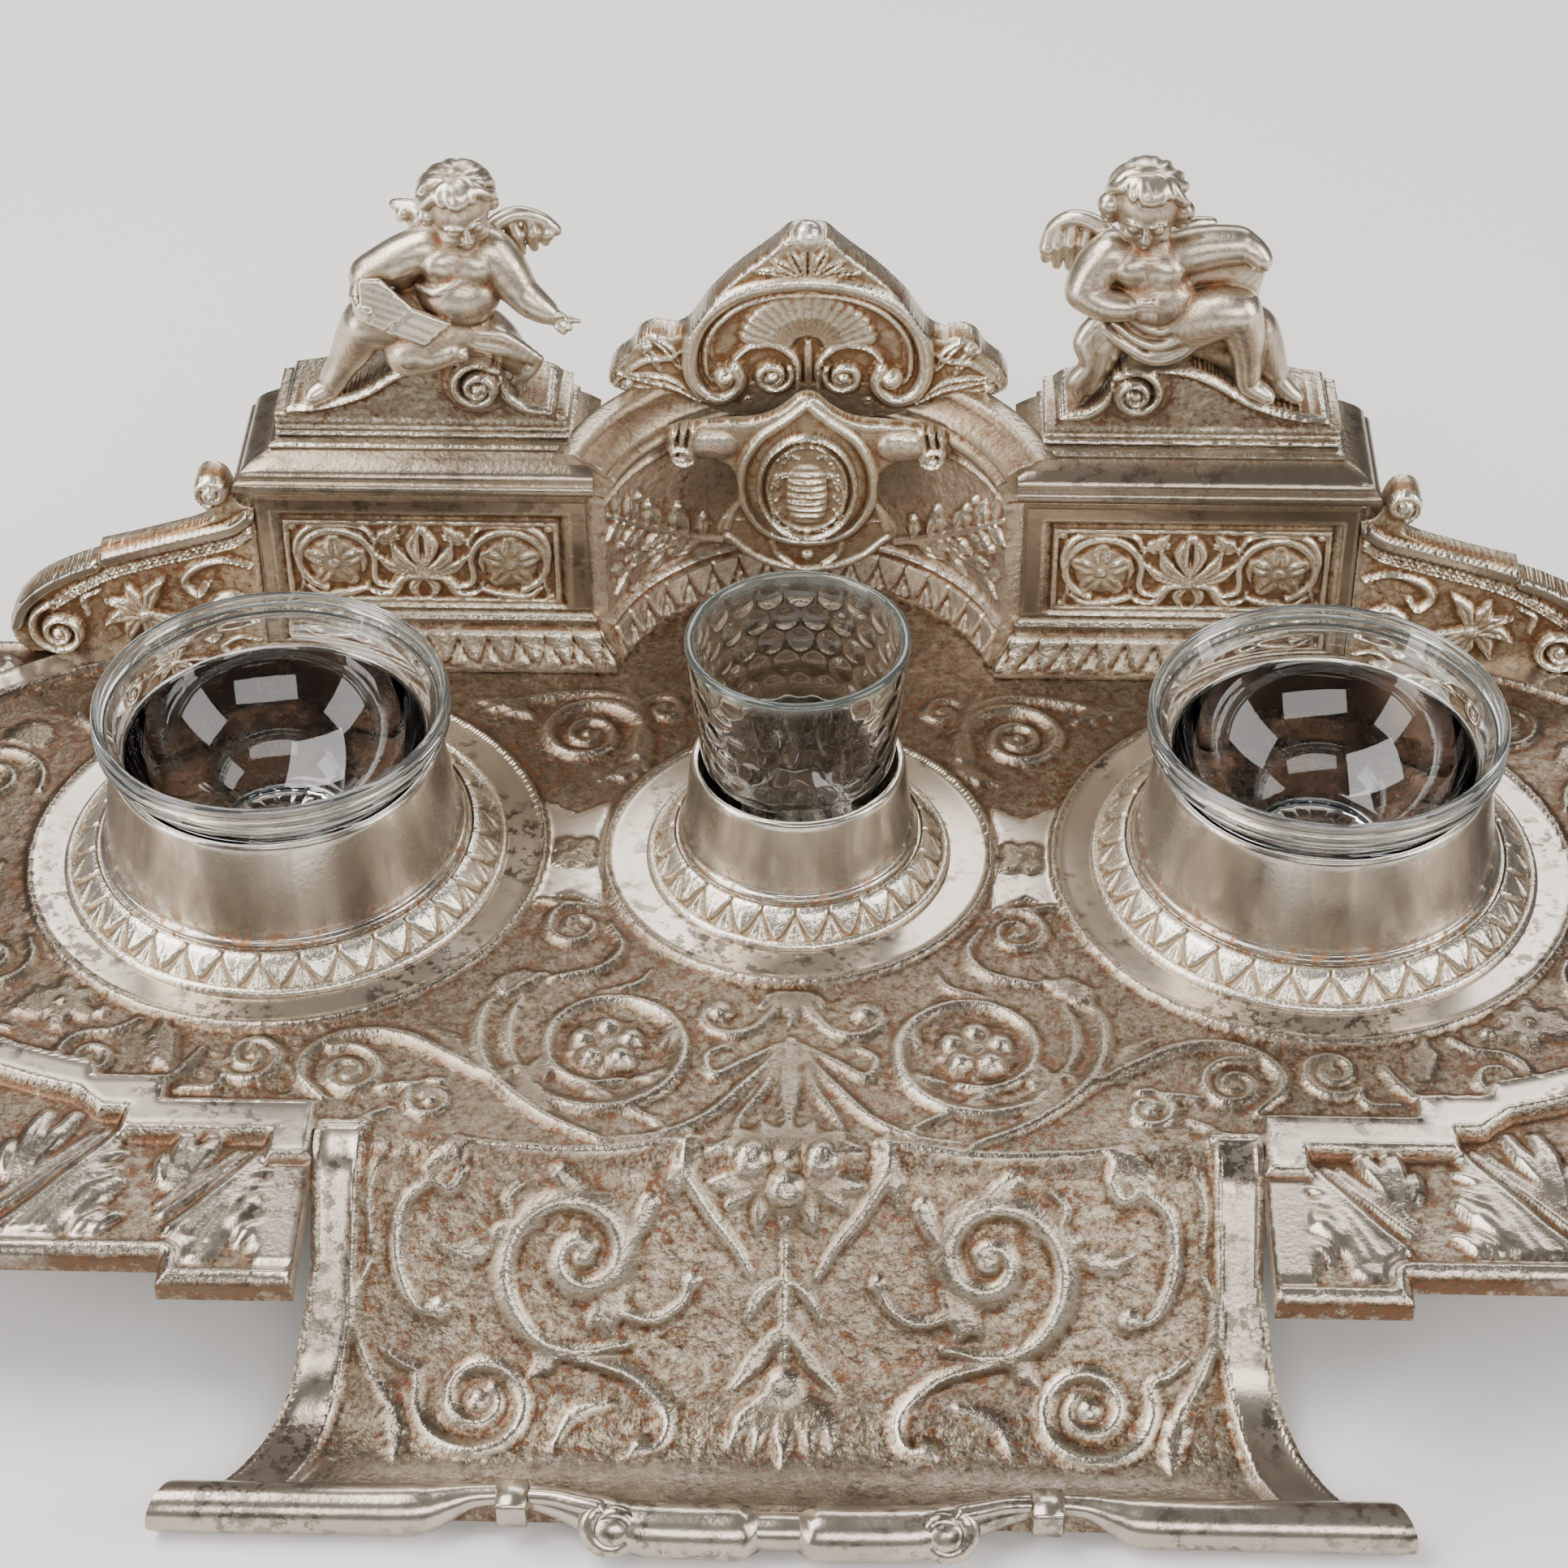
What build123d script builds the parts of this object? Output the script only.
from build123d import *
import math
import os

# An ornate double inkstand in plated cast metal, with two glass inkwell bowls and a centre tumbler.
# Lengths are millimetres. +X is the stand's right, +Y its back and +Z up.
# Parts are drawn about the middle of the tray's top face, on the line through the two bowls.
# At the end they all move so that the origin is the bottom centre of the whole stand.

# ---- tray ----
TRAY_HEIGHT = 36.0          # tray's top face above the table
TRAY_T = 4.0                # thickness of the tray casting
BORDER_DROP = 1.0           # the leaf border lies this far below the field
END_X = 122.0               # centre of the rounded ends
END_Y = -5.0
END_RX = 74.0
END_FRONT_RY = 89.5
END_REAR_RY = 75.0
WING_REAR_Y = 60.0          # rear edge behind the side brackets
GALLERY_REAR_Y = 78.0       # rear edge behind the pedestals
GALLERY_HALF = 102.0
FRONT_TAB_HALF = 96.0
FRONT_TAB_Y = -100.0
BULGE_R = 46.5

# ---- apron and pen trough ----
APRON_HALF = 75.0
APRON_T = 3.5
ROLL_Y = -68.0
ROLL_R = 9.0
APRON_SLOPE = 52.0          # degrees below level
SLOPE_LENGTH = 27.1
TROUGH_R = 20.0
TROUGH_RISE = 30.0          # degrees, behind the lip
LIP_R = 4.0
LIP_Y = -118.0
LIP_MIDDLE_Y = -122.0
LIP_HALF = 97.5
LIP_MIDDLE_HALF = 26.0

# ---- wells ----
BOWL_X = 88.3
BOWL_FOOT_Z = 2.8
BOWL_RIM_Z = 33.8
BOWL_RIM_R = 30.0
TUMBLER_Y = 1.3
TUMBLER_FOOT_Z = 3.5
TUMBLER_RIM_Z = 46.9
TUMBLER_RIM_R = 18.8
BIG_SLEEVE_TOP_Z = 24.2
SMALL_SLEEVE_TOP_Z = 21.3
LIFT_GAP = 0.3              # glass to metal

# ---- gallery ----
NICHE_Y = 44.0              # centre of the curved wall
NICHE_FRONT_Y = 55.0
NICHE_R = 37.5
WALL_T = 5.0
PLINTH_Y = 50.5
PEDESTAL_Y = 55.0
PEDESTAL_BACK_Y = 77.0
PEDESTAL_IN_X = 39.0
PEDESTAL_OUT_X = 98.5
PEDESTAL_TOP_Z = 38.0
CORNICE_TOP_Z = 45.5
CORNICE_R = 46.0            # back edge of the curved cornice
PANEL_X = 69.0
PANEL_W = 49.5
PANEL_Z = 22.0
PANEL_H = 18.0
PANEL_T = 1.5
PEDIMENT_Y = 60.0
PEDIMENT_BACK_Y = 74.0
VOLUTE_X = 57.5
VOLUTE_Z = 57.0
VOLUTE_R = 5.0
WING_Y = 54.5
WING_T = 4.5
CREST_Y = 78.0
CREST_T = 4.0
SHIELD_Y = 68.5
SHIELD_T = 2.5
SHIELD_STUD_Z = 24.0
MEDALLION_Z = 28.5
FINIAL_Z = 78.0
FINIAL_R = 2.9

# ---- figures ----
FIGURE_STUD_X = 62.0
FIGURE_STUD_Y = 67.0
SEAT_Z = 62.0

# ---- fasteners and feet ----
M4_R = 1.9
M4_HOLE_R = 2.0
M3_R = 1.4
M3_HOLE_R = 1.5
HEAD_R = 3.6
HEAD_T = 2.4
SLOT_W = 0.9
NUT_FLAT = 7.0
NUT_T = 3.0
FOOT_X = 118.0
FOOT_Y = 40.0
FOOT_HEAD_Z = -17.0
PEDESTAL_SCREWS = [(50.0, 66.0), (88.0, 66.0)]
WING_SCREW_X = 114.0
WALL_SCREW_ANGLES = (48.0, 132.0)
CREST_PIN_X = 24.0
CREST_PIN_LOW = PEDESTAL_TOP_Z + 0.5
CREST_PIN_TOP = 49.5

FRONT_VIEW = Plane(origin=(0, 0, 0), x_dir=(1, 0, 0), z_dir=(0, -1, 0))
TRAY_BOTTOM = -TRAY_T - BORDER_DROP


def lathe(points, x=0.0, y=0.0):
    """Turns a closed (radius, height) outline about a vertical axis at x, y."""
    outline = make_face(Polyline(*points, close=True))
    return Pos(x, y, 0) * revolve(Plane.XZ * outline, Axis.Z)


def upright(sketch, front_y, depth):
    """Extrudes a front-view sketch backwards from y = front_y."""
    return Pos(0, front_y, 0) * extrude(FRONT_VIEW * sketch, amount=-depth)


def block(x_low, x_high, y_low, y_high, z_low, z_high):
    middle = Pos((x_low + x_high) / 2, (y_low + y_high) / 2, (z_low + z_high) / 2)
    return middle * Box(x_high - x_low, y_high - y_low, z_high - z_low)


def rod(radius, x, y, z_low, z_high):
    return Pos(x, y, (z_low + z_high) / 2) * Cylinder(radius, z_high - z_low)


def frustum(low, high, z_low, z_high):
    """Joins two level rectangles, each given as (x_low, x_high, y_low, y_high)."""
    faces = []
    for (x0, x1, y0, y1), z in ((low, z_low), (high, z_high)):
        faces.append(Pos((x0 + x1) / 2, (y0 + y1) / 2, z) * Rectangle(x1 - x0, y1 - y0))
    return loft(faces, ruled=True)


def half_outline(points):
    """A closed sketch from the right-hand half of a symmetrical outline."""
    left = [(-x, z) for x, z in reversed(points) if x > 0]
    return make_face(Polyline(*points, *left, close=True))


def other_side(shape):
    return mirror(shape, about=Plane.YZ)


def slotted_screw(radius, x, y, z_head, z_tip):
    """A cheese-head screw driven upwards, with its head's top face at z_head."""
    head = rod(HEAD_R * radius / M4_R, x, y, z_head - HEAD_T, z_head)
    slot = block(x - 5, x + 5, y - SLOT_W / 2, y + SLOT_W / 2, z_head - HEAD_T, z_head - HEAD_T + 1.0)
    return head + rod(radius, x, y, z_head, z_tip) - slot


def hex_nut(x, y, z_low):
    blank = extrude(RegularPolygon(NUT_FLAT / 2, 6, major_radius=False), NUT_T)
    return Pos(x, y, z_low) * blank - rod(M4_HOLE_R, x, y, z_low, z_low + NUT_T)


# ---- tray ----
def end_plan(side):
    front = Ellipse(END_RX, END_FRONT_RY) & Pos(0, -200) * Rectangle(400, 400)
    rear = Ellipse(END_RX, END_REAR_RY) & Pos(0, 200) * Rectangle(400, 400)
    return Pos(side * END_X, END_Y) * (front + rear)


def tray_plan():
    edge_y = END_Y - END_FRONT_RY
    middle = Pos(0, (edge_y + WING_REAR_Y) / 2) * Rectangle(2 * END_X, WING_REAR_Y - edge_y)
    tab = Pos(0, FRONT_TAB_Y / 2) * Rectangle(2 * FRONT_TAB_HALF, -FRONT_TAB_Y)
    rear = Pos(0, GALLERY_REAR_Y / 2) * Rectangle(2 * GALLERY_HALF, GALLERY_REAR_Y)
    in_front = Pos(0, WING_REAR_Y - 200) * Rectangle(600, 400)
    ends = (end_plan(1) + end_plan(-1)) & in_front
    return middle + tab + rear + ends + Pos(0, NICHE_Y) * Circle(BULGE_R)


def field_plan():
    """The raised field with its polished band, inside the leaf border."""
    ends = Pos(BOWL_X, 2) * Ellipse(87, 66) + Pos(-BOWL_X, 2) * Ellipse(87, 66)
    steps = Pos(0, -4) * Rectangle(213, 127.4) + Pos(0, -7) * Rectangle(166, 134.4)
    rear = Pos(0, GALLERY_REAR_Y / 2) * Rectangle(2 * GALLERY_HALF, GALLERY_REAR_Y)
    return (ends + steps + rear + Pos(0, NICHE_Y) * Circle(BULGE_R)) & tray_plan()


def apron_line(depth):
    """The apron's section at a given depth below its top surface, as three tangent edges."""
    roll = JernArc((ROLL_Y, -depth), (-1, 0), ROLL_R - depth, APRON_SLOPE)
    slope_end = roll @ 1 + (roll % 1) * SLOPE_LENGTH
    slope = Line(roll @ 1, slope_end)
    trough = JernArc(slope_end, slope % 1, TROUGH_R + depth, -(APRON_SLOPE + TROUGH_RISE))
    return [roll, slope, trough]


def apron():
    top = apron_line(0.0)
    under = apron_line(APRON_T)
    start = (ROLL_Y + 8, 0)
    under_start = (ROLL_Y + 8, -APRON_T)
    ends = [Line(start, top[0] @ 0), Line(top[2] @ 1, under[2] @ 1)]
    ends += [Line(under[0] @ 0, under_start), Line(under_start, start)]
    section = make_face([*top, *under, *ends])
    sheet = extrude(Plane.YZ * section, amount=LIP_HALF, both=True)
    edge = [(APRON_HALF, -58), (APRON_HALF, -84), (78, -97), (81, -105), (86, -114.6), (LIP_HALF, -119)]
    plan = half_outline([(0, -58), *edge, (LIP_HALF, -126), (0, -126)])
    return sheet & Pos(0, 0, -60) * extrude(plan, 80)


def lip():
    axis_z = -TRAY_HEIGHT + 0.9 * LIP_R
    along_x = Plane(origin=(0, 0, axis_z), x_dir=(0, 1, 0), z_dir=(1, 0, 0))
    side_rolls = extrude(along_x * Pos(LIP_Y, 0) * Circle(LIP_R), amount=LIP_HALF, both=True)
    middle = extrude(along_x * Pos(LIP_MIDDLE_Y, 0) * Circle(LIP_R), amount=LIP_MIDDLE_HALF, both=True)
    web = block(-LIP_MIDDLE_HALF, LIP_MIDDLE_HALF, LIP_MIDDLE_Y, LIP_Y, -TRAY_HEIGHT, axis_z + 3)
    below = block(-200, 200, -200, 0, -60, -TRAY_HEIGHT)
    notch = block(-4, 4, -130, LIP_MIDDLE_Y - 2, -TRAY_HEIGHT, 0)
    return side_rolls + middle + web - below - notch


def base_plate():
    border = Pos(0, 0, TRAY_BOTTOM) * extrude(tray_plan(), TRAY_T)
    field = Pos(0, 0, TRAY_BOTTOM) * extrude(field_plan(), -TRAY_BOTTOM)
    opening = block(-APRON_HALF, APRON_HALF, -200, ROLL_Y, -20, 10)
    plate = border + field - opening + apron() + lip()
    for x in (-BOWL_X, BOWL_X):
        plate -= rod(M4_HOLE_R, x, 0, -20, 5)
    plate -= rod(M4_HOLE_R, 0, TUMBLER_Y, -20, 5)
    for x, y in PEDESTAL_SCREWS:
        for side in (-1, 1):
            plate -= rod(M4_HOLE_R, side * x, y, -20, 5)
    for side in (-1, 1):
        plate -= rod(M3_HOLE_R, side * WING_SCREW_X, WING_Y + WING_T / 2, -20, 5)
        plate -= rod(M4_HOLE_R, side * FOOT_X, FOOT_Y, -20, -1.0)
    for x, y in wall_screw_places():
        plate -= rod(M3_HOLE_R, x, y, -20, 5)
    return plate


# ---- wells ----
def leaf_ring(inner_r, shoulder_r, outer_r, height, x, y):
    points = [(inner_r, 0), (outer_r, 0), (outer_r, 2), (shoulder_r, height), (inner_r, height)]
    return lathe(points, x, y)


def sleeve(tube_r, bead_r, top_r, seat_z, floor_t, top_z, x, y):
    """A turned sleeve: its tube stands in the leaf ring and its bead clamps the ring down."""
    wall = 1.1
    points = [(M4_R, 0), (tube_r, 0), (tube_r, seat_z), (bead_r, seat_z), (bead_r, seat_z + 1.4)]
    points += [(bead_r - 0.9, seat_z + 2), (top_r, top_z), (top_r - wall, top_z)]
    points += [(bead_r - 2.4, seat_z + 2.4), (tube_r - 1.4, floor_t), (M4_R, floor_t)]
    return lathe(points, x, y)


def bowl(x):
    """A pressed-glass bowl, round inside and out, hung by its shoulder in the sleeve."""
    inside_r = 27.0
    inside_z = 34.0
    outside_z = 24.9
    neck = (25.6, 23.5)
    outside_r = math.hypot(neck[0], neck[1] - outside_z)
    foot = (math.sqrt(outside_r**2 - (outside_z - BOWL_FOOT_Z) ** 2), BOWL_FOOT_Z)
    belly = (outside_r * math.sin(math.radians(60)), outside_z - outside_r / 2)
    ledge = (math.sqrt(inside_r**2 - 16), inside_z - 4)
    hollow = (inside_r * math.sqrt(0.5), inside_z - inside_r * math.sqrt(0.5))
    well = (0, inside_z - inside_r)
    shoulder = (BOWL_RIM_R, 28.3)
    rim_out = (BOWL_RIM_R, BOWL_RIM_Z - 0.8)
    rim_in = (BOWL_RIM_R - 1.6, BOWL_RIM_Z - 0.8)
    edges = [Line((0, BOWL_FOOT_Z), foot), ThreePointArc(foot, belly, neck), Line(neck, shoulder)]
    edges += [Line(shoulder, rim_out), ThreePointArc(rim_out, (BOWL_RIM_R - 0.8, BOWL_RIM_Z), rim_in)]
    edges += [Line(rim_in, ledge), ThreePointArc(ledge, hollow, well), Line(well, (0, BOWL_FOOT_Z))]
    return Pos(x, 0, 0) * revolve(Plane.XZ * make_face(edges), Axis.Z)


def tumbler():
    wall = 1.7
    points = [(0, TUMBLER_FOOT_Z), (13.9, TUMBLER_FOOT_Z), (14.6, 4.3), (16.1, 22.0)]
    points += [(TUMBLER_RIM_R, 46.2), (TUMBLER_RIM_R - wall / 2, TUMBLER_RIM_Z), (TUMBLER_RIM_R - wall, 46.2)]
    points += [(16.1 - wall, 22.0), (12.6, 9.0), (10.5, 7.5), (0, 7.2)]
    return lathe(points, 0, TUMBLER_Y)


# ---- gallery ----
def niche_space(radius, z_low, z_high):
    """The half-round space about the niche's centre, behind its front line."""
    behind = block(-80, 80, NICHE_FRONT_Y, 140, z_low, z_high)
    return rod(radius, 0, NICHE_Y, z_low, z_high) & behind


def wall_screw_places():
    middle_r = NICHE_R + WALL_T / 2
    places = []
    for angle in WALL_SCREW_ANGLES:
        a = math.radians(angle)
        places.append((middle_r * math.cos(a), NICHE_Y + middle_r * math.sin(a)))
    return places


def crest_pin_places():
    depth = CREST_Y + CREST_T / 2
    return [(-CREST_PIN_X, depth), (CREST_PIN_X, depth)]


def niche_wall():
    outer = NICHE_R + WALL_T
    points = [(NICHE_R - 2.5, 0), (outer, 0), (outer, PEDESTAL_TOP_Z), (NICHE_R, PEDESTAL_TOP_Z)]
    points += [(NICHE_R, 9), (NICHE_R - 2.5, 2)]
    wall = lathe(points, 0, NICHE_Y) & block(-80, 80, NICHE_FRONT_Y, 140, -1, 60)
    for x, y in wall_screw_places():
        wall -= rod(M3_HOLE_R, x, y, -1, 12)
    stud_hole = upright(Pos(0, SHIELD_STUD_Z) * Circle(M3_HOLE_R), 70, 30)
    return wall - stud_hole


def niche_cornice():
    low_r = NICHE_R - 2
    points = [(low_r, 38), (NICHE_R + WALL_T, 38), (CORNICE_R, 41), (CORNICE_R, CORNICE_TOP_Z)]
    points += [(42, CORNICE_TOP_Z), (low_r, 41)]
    ring = lathe(points, 0, NICHE_Y) & block(-80, 80, NICHE_FRONT_Y, 140, 30, 60)
    for x, y in crest_pin_places():
        ring -= rod(M3_HOLE_R, x, y, 30, 60)
    return ring


def pedestal():
    """The right-hand pedestal: a hollow box with a stepped plinth, open at the back."""
    x0, x1 = PEDESTAL_IN_X, PEDESTAL_OUT_X
    body = block(x0, x1, PEDESTAL_Y, PEDESTAL_BACK_Y, 0, PEDESTAL_TOP_Z)
    foot = block(x0 - 5, x1, PLINTH_Y, PEDESTAL_BACK_Y, 0, 2)
    slope = frustum((x0 - 5, x1, PLINTH_Y, PEDESTAL_BACK_Y), (x0, x1, PEDESTAL_Y, PEDESTAL_BACK_Y), 2, 9)
    hollow = block(x0 + 4.5, x1 - 3.5, PEDESTAL_Y + 3.5, 100, 3, PEDESTAL_TOP_Z - 3)
    recess = upright(Pos(PANEL_X, PANEL_Z) * Rectangle(PANEL_W, PANEL_H), PEDESTAL_Y - 1, PANEL_T + 1)
    box = body + foot + slope - hollow - recess - niche_space(NICHE_R + WALL_T, -1, 60)
    for x, y in PEDESTAL_SCREWS:
        box -= rod(M4_HOLE_R, x, y, -1, 5)
    return box - rod(M4_HOLE_R, FIGURE_STUD_X, FIGURE_STUD_Y, 30, 60)


def relief_panel():
    """The pressed plaque in the pedestal's face, with its raised flowers."""
    plate = upright(Pos(PANEL_X, PANEL_Z) * Rectangle(PANEL_W - 0.2, PANEL_H - 0.2), PEDESTAL_Y, PANEL_T)
    for side in (-1, 1):
        rosette = Pos(PANEL_X + side * 14.5, PANEL_Z - 1) * Circle(3.6)
        plate += upright(rosette, PEDESTAL_Y - 0.6, 1.0)
    lotus = Pos(PANEL_X, PANEL_Z) * Ellipse(4.5, 6.5)
    return plate + upright(lotus, PEDESTAL_Y - 0.6, 1.0)


def cornice():
    back = PEDESTAL_BACK_Y
    slab = block(37.5, 101.4, 51.5, back, PEDESTAL_TOP_Z, 41)
    slope = frustum((38.5, 100.4, 52.5, back), (42, 94, 58, back), 41, CORNICE_TOP_Z)
    whole = slab + slope - niche_space(CORNICE_R, 30, 60)
    return whole - rod(M4_HOLE_R, FIGURE_STUD_X, FIGURE_STUD_Y, 30, 60)


def pediment():
    low = CORNICE_TOP_Z
    inner = Line((42, low), (42, 52.5))
    inner_top = Line((42, 52.5), (45.5, 52.5))
    inner_sweep = ThreePointArc((45.5, 52.5), (50.5, 53.6), (53.5, 57.0))
    seat = Polyline((53.5, 57.0), (53.5, SEAT_Z), (64.0, SEAT_Z))
    outer_sweep = ThreePointArc((64.0, SEAT_Z), (76.0, 55.4), (90.0, 52.5))
    outer = Polyline((90.0, 52.5), (94, 52.5), (94, low), (42, low))
    outline = make_face([inner, inner_top, inner_sweep, seat, outer_sweep, outer])
    scroll = Pos(VOLUTE_X, VOLUTE_Z) * Circle(VOLUTE_R)
    body = upright(outline, PEDIMENT_Y, PEDIMENT_BACK_Y - PEDIMENT_Y)
    body += upright(scroll, PEDIMENT_Y - 1.5, 6)
    return body - rod(M4_HOLE_R, FIGURE_STUD_X, FIGURE_STUD_Y, 40, 70)


def wing():
    """The right-hand bracket that falls from the cornice to the tray's edge."""
    x0 = PEDESTAL_OUT_X
    top = Polyline((x0, 0), (x0, 33), (104, 34.5), (107.8, 34.6))
    sweep = ThreePointArc((107.8, 34.6), (116, 27.4), (128, 24.2))
    step = Line((128, 24.2), (128, 22.8))
    shoulder = ThreePointArc((128, 22.8), (139, 17.5), (146, 8))
    foot = Polyline((146, 8), (145, 2.5), (142, 0), (x0, 0))
    outline = make_face([top, sweep, step, shoulder, foot]) + Pos(105.4, 37.2) * Circle(3.7)
    plate = upright(outline, WING_Y, WING_T) + upright(Pos(136, 6) * Circle(5.7), WING_Y - 1.2, 3)
    return plate - rod(M3_HOLE_R, WING_SCREW_X, WING_Y + WING_T / 2, -1, 12)


def crest():
    """The pierced-look shell crest that stands across the curved cornice."""
    edge = [(0, 40), (17, 40), (19, CORNICE_TOP_Z), (36, CORNICE_TOP_Z), (35.5, 47), (31.5, 49.5), (30, 53)]
    edge += [(28.5, 54.5), (24.5, 52.5), (21.5, 58), (15, 66.5), (10, 72), (6, 78), (3.5, 81), (0, 82)]
    back = upright(half_outline(edge), CREST_Y, CREST_T)
    arch = Pos(0, 51) * Circle(20.5) - Pos(0, 51) * Circle(16.5)
    scroll = arch & Pos(0, 66) * Rectangle(60, 36)
    front = upright(scroll, CREST_Y - 2.5, 3.5)
    for side in (-1, 1):
        front += upright(Pos(side * 14.7, 48.7) * Circle(5.2), CREST_Y - 3.5, 5)
    casting = back + front - niche_cornice_blank()
    for x, y in crest_pin_places():
        casting -= rod(M3_HOLE_R, x, y, 30, 50)
    pin_hole = upright(Pos(0, FINIAL_Z) * Circle(1.1), 70, 30)
    return casting - pin_hole


def niche_cornice_blank():
    """The curved cornice without its holes, to seat the crest on it."""
    low_r = NICHE_R - 2
    points = [(low_r, 30), (50, 30), (50, CORNICE_TOP_Z), (42, CORNICE_TOP_Z), (low_r, 41)]
    return lathe(points, 0, NICHE_Y)


def crest_finial():
    ball = Pos(0, CREST_Y - FINIAL_R * 0.9, FINIAL_Z) * Sphere(FINIAL_R)
    ball -= block(-5, 5, CREST_Y, CREST_Y + 5, FINIAL_Z - 5, FINIAL_Z + 5)
    return ball + upright(Pos(0, FINIAL_Z) * Circle(1.0), CREST_Y - 1, CREST_T + 1)


def cartouche_shield():
    edge = [(0, 9), (8, 12), (15, 15), (16.8, 20), (12.5, 27), (14.5, 32), (20, 33.5), (24, 34.5)]
    edge += [(24, 37), (17, 41), (12, 43.5), (6, 46), (0, 49)]
    plate = upright(half_outline(edge), SHIELD_Y, SHIELD_T)
    boss = upright(Pos(0, SHIELD_STUD_Z) * Circle(4), SHIELD_Y + 1, 15)
    boss &= rod(NICHE_R, 0, NICHE_Y, 0, 60)
    hole = upright(Pos(0, SHIELD_STUD_Z) * Circle(M3_HOLE_R), SHIELD_Y + 2, 30)
    return plate + boss - hole


def medallion():
    oval = upright(Pos(0, MEDALLION_Z) * Ellipse(10, 14.5), SHIELD_Y - 1.5, 1.5)
    hive = upright(Pos(0, MEDALLION_Z) * Ellipse(4.2, 6), SHIELD_Y - 2.4, 1.2)
    return oval + hive


# ---- figures ----
def limb(start, end, radius):
    """A round-ended bar between two points."""
    a, b = Vector(*start), Vector(*end)
    along = Plane(origin=a, z_dir=b - a)
    bar = along * Cylinder(radius, (b - a).length, align=(Align.CENTER, Align.CENTER, Align.MIN))
    return bar + Pos(*start) * Sphere(radius) + Pos(*end) * Sphere(radius)


def figure(pieces, head, head_r, extras, side):
    """A seated cherub with its fixing stud, cut to sit on its own pediment."""
    x = side * FIGURE_STUD_X
    body = Pos(*head) * Sphere(head_r)
    for start, end, radius in pieces:
        body += limb(start, end, radius)
    for extra in extras:
        body += extra
    seat = pediment() if side > 0 else other_side(pediment())
    body -= seat
    body -= block(x - 60, x + 60, 20, PEDIMENT_BACK_Y + 20, 20, CORNICE_TOP_Z)
    return body + rod(M4_R, x, FIGURE_STUD_Y, PEDESTAL_TOP_Z - 3 - NUT_T - 1, SEAT_Z + 4)


def left_cherub():
    seat_block = block(-70, -50, 62, 71, SEAT_Z, 68)
    book = Pos(-69, 57.5, 71) * Rot(20, 0, 15) * Box(13, 2.0, 8)
    wing_right = Pos(-47, 68, 85) * Rot(0, -25, -20) * Box(12, 2, 5)
    wing_left = Pos(-66, 69, 86) * Rot(0, 25, 20) * Box(9, 2, 5)
    pieces = [
        ((-58, 66, 81), (-48, 68, 85), 1.5),
        ((-60, 66, 81), (-66, 69, 86), 1.5),
        ((-60, 66, 69), (-59, 64.5, 79), 6.3),
        ((-58.5, 64, 82), (-59, 63, 88), 3.0),
        ((-65, 64, 81), (-77, 61, 74), 2.5),
        ((-77, 61, 74), (-72, 58, 71), 2.2),
        ((-53, 64, 81), (-47.5, 62, 74), 2.4),
        ((-47.5, 62, 74), (-39, 60, 69.5), 1.9),
        ((-63, 63, 67), (-77, 60, 66.5), 3.3),
        ((-77, 60, 66.5), (-86, 60, 54.5), 2.4),
        ((-57, 64, 67), (-66, 59.5, 65), 3.3),
    ]
    return figure(pieces, (-59, 62.5, 92.3), 6.9, [seat_block, book, wing_right, wing_left], -1)


def right_cherub():
    seat_block = block(50, 70, 62, 71, SEAT_Z, 68)
    drape = block(46, 58, 59, 66, 54, 64)
    tablet = Pos(75, 58.5, 80) * Rot(15, 10, 0) * Box(9, 1.8, 10)
    wing_left = Pos(45, 68, 86) * Rot(0, 20, 20) * Box(12, 2, 6)
    wing_right = Pos(66, 69, 88) * Rot(0, -25, -20) * Box(10, 2, 5)
    pieces = [
        ((56, 66, 81), (46, 68, 86), 1.5),
        ((59, 66, 81), (66, 69, 88), 1.5),
        ((59, 66, 69), (58.5, 64.5, 79), 6.3),
        ((58, 64, 82), (57.5, 63.5, 88), 3.0),
        ((51.5, 64, 80.5), (47.5, 62, 73.5), 2.5),
        ((47.5, 62, 73.5), (57.5, 58, 73), 2.1),
        ((65.5, 64, 83.5), (73, 63, 84), 2.4),
        ((73, 63, 84), (76.5, 60, 80), 2.0),
        ((61, 63, 68), (71, 59.5, 70.5), 3.3),
        ((71, 59.5, 70.5), (77, 59.5, 59.5), 2.3),
        ((64, 65, 66), (78, 62, 65), 3.0),
        ((78, 62, 65), (85, 61, 57), 2.3),
    ]
    return figure(pieces, (57.5, 62.5, 94.2), 6.8, [seat_block, drape, tablet, wing_left, wing_right], 1)


# ---- feet and fasteners ----
def foot(side):
    low = -TRAY_HEIGHT
    head_bore = 4.6
    points = [(M4_R + 0.2, TRAY_BOTTOM), (11, TRAY_BOTTOM), (11, TRAY_BOTTOM - 3), (8, TRAY_BOTTOM - 6)]
    points += [(6.8, -20), (9, -26), (11, -30), (11, low + 2), (9.5, low), (head_bore, low)]
    points += [(head_bore, FOOT_HEAD_Z), (M4_R + 0.2, FOOT_HEAD_Z)]
    return lathe(points, side * FOOT_X, FOOT_Y)


def foot_screws():
    screws = [slotted_screw(M4_R, side * FOOT_X, FOOT_Y, FOOT_HEAD_Z, -1.4) for side in (-1, 1)]
    return Compound(children=screws)


def sleeve_screws():
    places = [(-BOWL_X, 0), (0, TUMBLER_Y), (BOWL_X, 0)]
    return Compound(children=[slotted_screw(M4_R, x, y, TRAY_BOTTOM, 1.2) for x, y in places])


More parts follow.
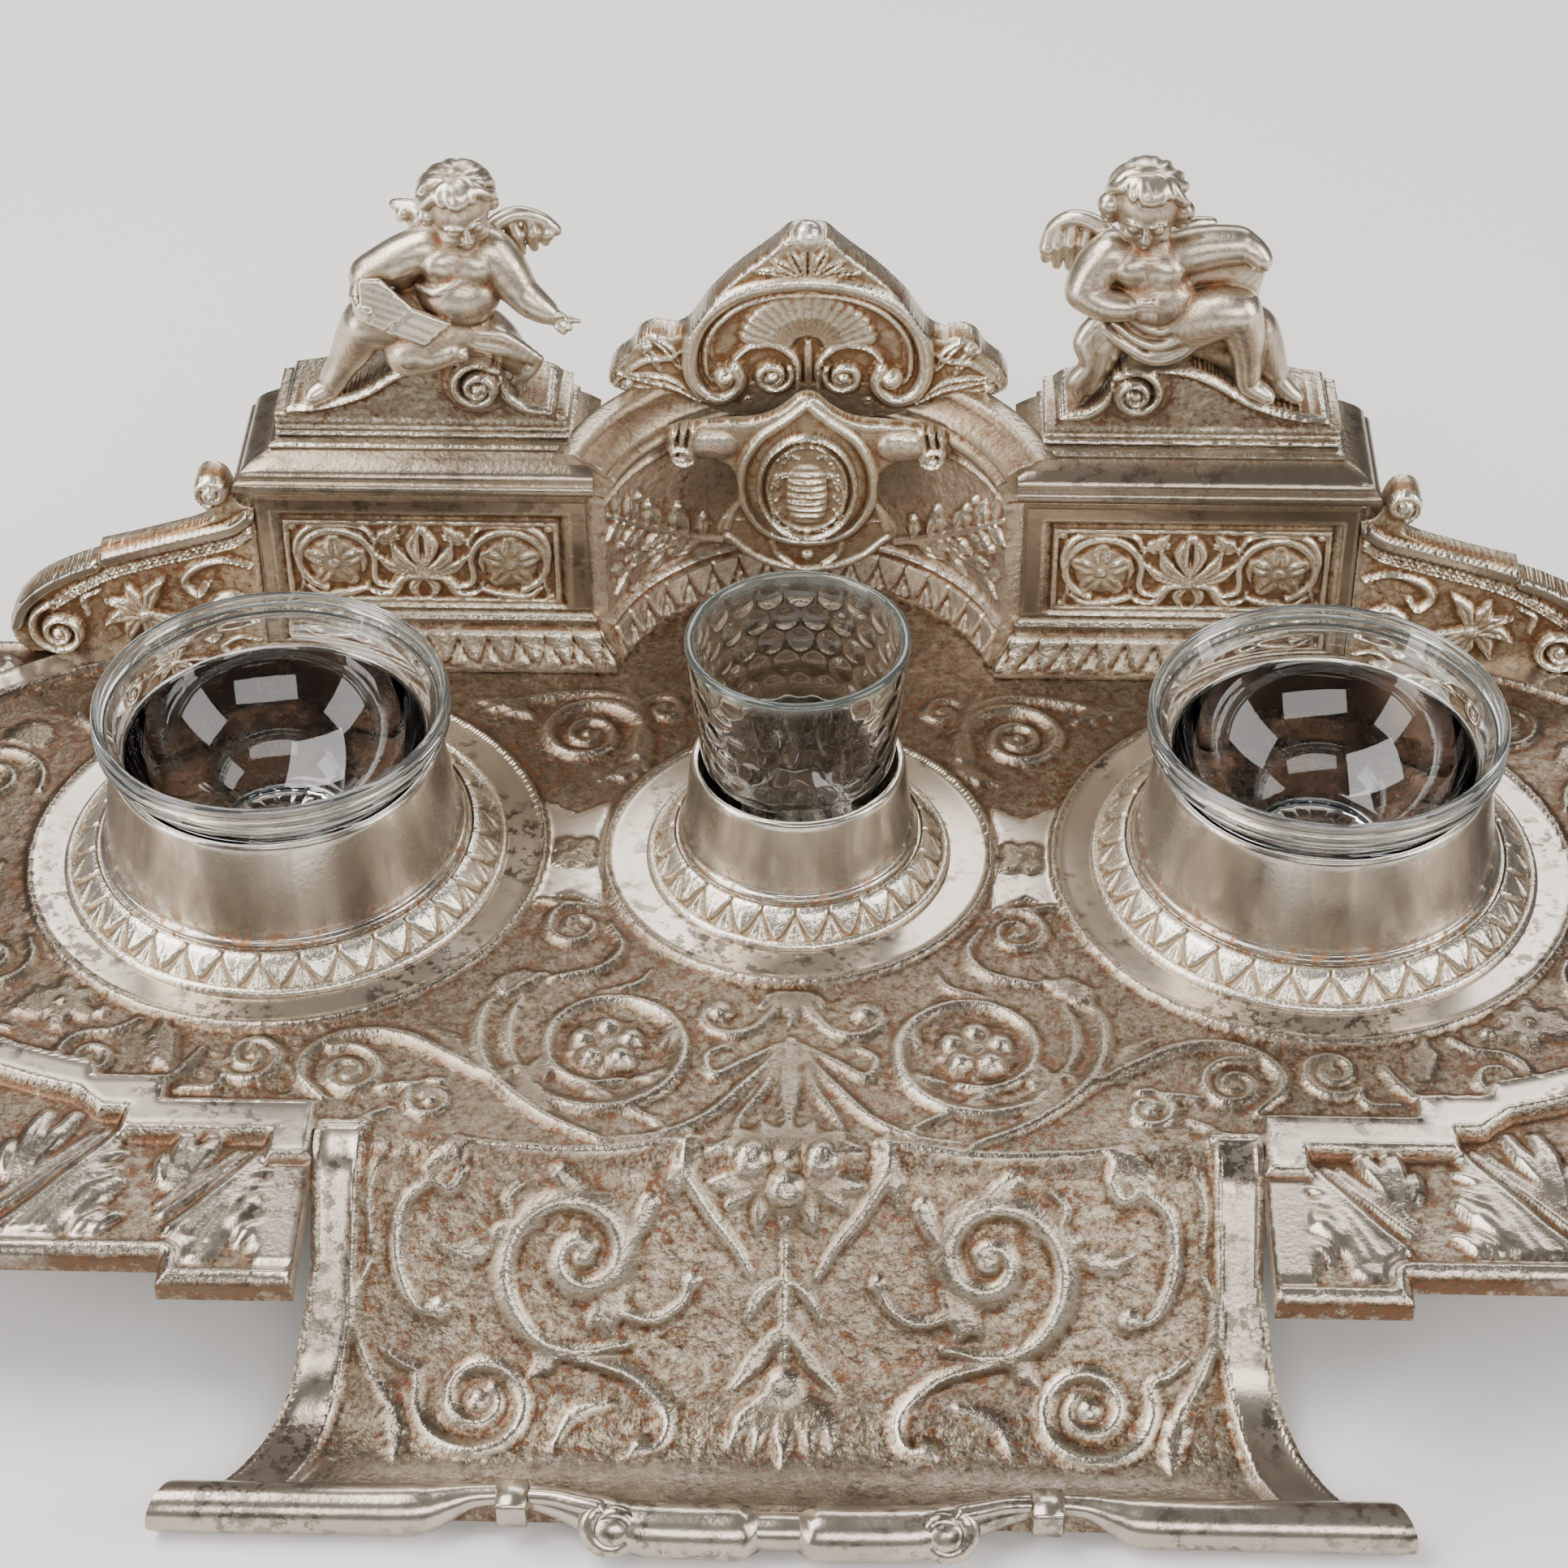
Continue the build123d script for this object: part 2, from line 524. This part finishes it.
def gallery_screws():
    places = [(side * x, y) for x, y in PEDESTAL_SCREWS for side in (-1, 1)]
    return Compound(children=[slotted_screw(M4_R, x, y, TRAY_BOTTOM, 7.0) for x, y in places])


def gallery_nuts():
    places = [(side * x, y) for x, y in PEDESTAL_SCREWS for side in (-1, 1)]
    return Compound(children=[hex_nut(x, y, 3.0) for x, y in places])


def wall_screws():
    places = [(side * WING_SCREW_X, WING_Y + WING_T / 2) for side in (-1, 1)]
    screws = []
    for x, y in places + wall_screw_places():
        screws.append(slotted_screw(M3_R, x, y, TRAY_BOTTOM, 10.0))
    return Compound(children=screws)


def cherub_nuts():
    z = PEDESTAL_TOP_Z - 3 - NUT_T
    return Compound(children=[hex_nut(side * FIGURE_STUD_X, FIGURE_STUD_Y, z) for side in (-1, 1)])


def crest_pins():
    pins = [rod(M3_R, x, y, CREST_PIN_LOW, CREST_PIN_TOP) for x, y in crest_pin_places()]
    return Compound(children=pins)


def shield_screw():
    """Driven from behind the curved wall into the boss on the shield's back."""
    head_y = NICHE_Y + NICHE_R + WALL_T
    shank = upright(Pos(0, SHIELD_STUD_Z) * Circle(M3_R), SHIELD_Y + 3, head_y - SHIELD_Y - 3)
    head = upright(Pos(0, SHIELD_STUD_Z) * Circle(2.8), head_y, 2.0)
    slot = block(-4, 4, head_y + 1.2, head_y + 3, SHIELD_STUD_Z - SLOT_W / 2, SHIELD_STUD_Z + SLOT_W / 2)
    return shank + head - slot


def all_parts():
    parts = {"base_plate": base_plate(), "centre_leaf_ring": leaf_ring(19.6, 20.9, 26.2, 5.6, 0, TUMBLER_Y)}
    parts["centre_sleeve"] = sleeve(19.4, 20.6, 18.0, 5.6, 3.2, SMALL_SLEEVE_TOP_Z, 0, TUMBLER_Y)
    parts["centre_tumbler"] = tumbler()
    for name, side in (("left", -1), ("right", 1)):
        x = side * BOWL_X
        parts[name + "_leaf_ring"] = leaf_ring(30.0, 32.0, 38.2, 4.9, x, 0)
        parts[name + "_sleeve"] = sleeve(29.8, 31.5, 27.8, 4.9, 1.5, BIG_SLEEVE_TOP_Z, x, 0)
        parts[name + "_bowl"] = bowl(x)
        parts[name + "_foot"] = foot(side)
    pairs = {"pedestal": pedestal(), "relief_panel": relief_panel(), "cornice": cornice()}
    pairs["pediment"] = pediment()
    pairs["wing"] = wing()
    for name, shape in pairs.items():
        parts["right_" + name] = shape
        parts["left_" + name] = other_side(shape)
    singles = (niche_wall, niche_cornice, crest, crest_finial, cartouche_shield, medallion)
    singles += (left_cherub, right_cherub, foot_screws, sleeve_screws, gallery_screws, gallery_nuts)
    singles += (wall_screws, cherub_nuts, crest_pins, shield_screw)
    for make in singles:
        parts[make.__name__] = make()
    return parts


def main():
    front_y = LIP_MIDDLE_Y - LIP_R
    back_y = NICHE_Y + BULGE_R
    to_row = Pos(0, -(front_y + back_y) / 2, TRAY_HEIGHT)
    os.makedirs("parts", exist_ok=True)
    for name, shape in all_parts().items():
        export_step(to_row * shape, "parts/" + name + ".step")


main()
